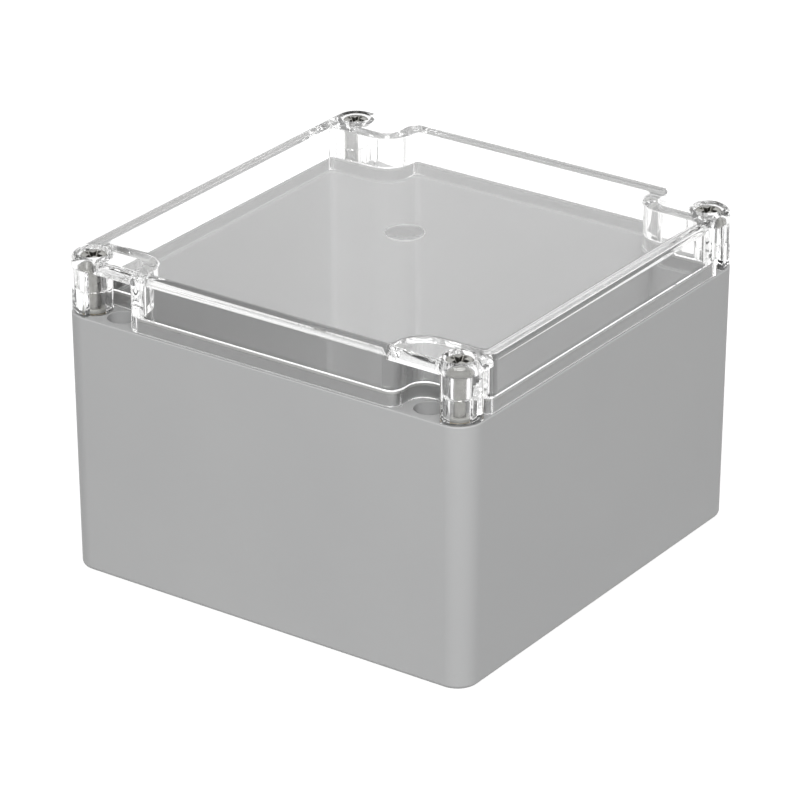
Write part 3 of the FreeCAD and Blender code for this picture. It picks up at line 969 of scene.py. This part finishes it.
def make_hardware(corner, meshes, steel, nylon, brass):
    """The screw, ring and insert of one corner."""
    x, y = corner_spot(corner)
    place = (x, y, LEDGE)
    new_piece("screw_" + corner, meshes["screw"].copy(), steel, "screw_" + corner,
              "lid_screw_" + corner, place)
    new_piece("ring_" + corner, meshes["ring"].copy(), nylon, "ring_" + corner,
              "retaining_ring_" + corner, place)
    new_piece("insert_" + corner, meshes["insert"].copy(), brass, "base",
              "threaded_insert_" + corner, place)


# Stage

def seen_directly(nodes):
    """1 for what the camera sees, straight or in gloss or through clear plastic, and else 0."""
    path = nodes.add("LightPath").outputs
    seen = path["Is Camera Ray"]
    for name in ("Is Glossy Ray", "Is Transmission Ray"):
        seen = nodes.calculate("MAXIMUM", seen, path[name])
    return seen


def make_floor():
    """Pale floor that looks white in the picture and keeps the object's shadow."""
    shader = Shader("floor")
    glow = shader.add("Emission")
    shader.feed(FLOOR_GLOW, glow.inputs["Strength"])
    white = shader.add("AddShader")
    shader.feed(glow.outputs["Emission"], white.inputs[0])
    shader.feed(shader.plain("BsdfDiffuse", (FLOOR_SHADE,) * 3), white.inputs[1])
    grey = shader.plain("BsdfDiffuse", (FLOOR_COLOUR,) * 3)
    material = shader.finish(
        shader.mix_surfaces(seen_directly(shader), grey, white.outputs["Shader"]))

    data = bpy.data.meshes.new("floor")
    spots = [(-1, -1), (1, -1), (1, 1), (-1, 1)]
    corners = [(x * FLOOR_REACH, y * FLOOR_REACH, -FLOOR_GAP) for x, y in spots]
    data.from_pydata(corners, [], [(0, 1, 2, 3)])
    floor = bpy.data.objects.new("floor", data)
    bpy.context.scene.collection.objects.link(floor)
    paint(floor, material)


def make_world():
    """White where it is seen, and a plain level grey where it lights the object."""
    world = bpy.data.worlds.new("studio")
    bpy.context.scene.world = world
    world.use_nodes = True
    nodes = Nodes(world.node_tree)
    background = nodes.add("Background")
    level = nodes.choose(seen_directly(nodes), WORLD_LEVEL, 1.0)
    nodes.feed(level, background.inputs["Strength"])
    output = nodes.add("OutputWorld")
    nodes.feed(background.outputs["Background"], output.inputs["Surface"])


def towards(azimuth, elevation):
    """Direction from the object, with azimuth 0 at the front and turning to the right."""
    level = math.cos(elevation)
    return Vector((
        math.sin(azimuth) * level,
        -math.cos(azimuth) * level,
        math.sin(elevation),
    ))


def area_light(name, azimuth, elevation, power):
    """A broad square lamp that faces the lid."""
    data = bpy.data.lights.new(name, "AREA")
    data.shape = "SQUARE"
    data.size = LAMP_WIDTH
    data.energy = power
    lamp = bpy.data.objects.new(name, data)
    way = towards(azimuth, elevation)
    lamp.location = way * LAMP_DISTANCE + Vector((0.0, 0.0, LEDGE))
    lamp.rotation_euler = (-way).to_track_quat("-Z", "Y").to_euler()
    bpy.context.scene.collection.objects.link(lamp)


def make_lights():
    """One broad lamp above the camera, and one behind that the lid's top reflects."""
    area_light("key", CAMERA_AZIMUTH, KEY_ELEVATION, KEY_POWER)
    area_light("rear", CAMERA_AZIMUTH + math.pi, CAMERA_ELEVATION, REAR_POWER)


def make_camera():
    data = bpy.data.cameras.new("camera")
    data.sensor_width = SENSOR_WIDTH
    data.lens = FOCAL_PIXELS / PHOTO_PIXELS * SENSOR_WIDTH
    camera = bpy.data.objects.new("camera", data)
    camera.location = CAMERA_PLACE
    view = -towards(CAMERA_AZIMUTH, CAMERA_ELEVATION)
    camera.rotation_euler = view.to_track_quat("-Z", "Y").to_euler()
    bpy.context.scene.collection.objects.link(camera)
    bpy.context.scene.camera = camera


def main():
    new_piece("tub", tub_mesh(), grey_polycarbonate(), "base",
              "enclosure_base")
    new_piece("lid", lid_mesh(), clear_polycarbonate(), "lid",
              "clear_lid")
    new_piece("seal", seal_mesh(), seal_foam(), "lid", "lid_gasket")
    meshes = {"screw": screw_mesh(), "ring": ring_mesh(), "insert": insert_mesh()}
    steel = turned_steel()
    nylon = natural_nylon()
    brass = turned_brass()
    for corner in CORNERS:
        make_hardware(corner, meshes, steel, nylon, brass)
    make_floor()
    make_world()
    make_lights()
    make_camera()
    scene = bpy.context.scene
    scene.view_settings.view_transform = "Standard"
    scene.cycles.max_bounces = LIGHT_BOUNCES
    scene.cycles.transmission_bounces = LIGHT_BOUNCES
    scene.cycles.glossy_bounces = LIGHT_BOUNCES
    scene.cycles.caustics_refractive = False


main()
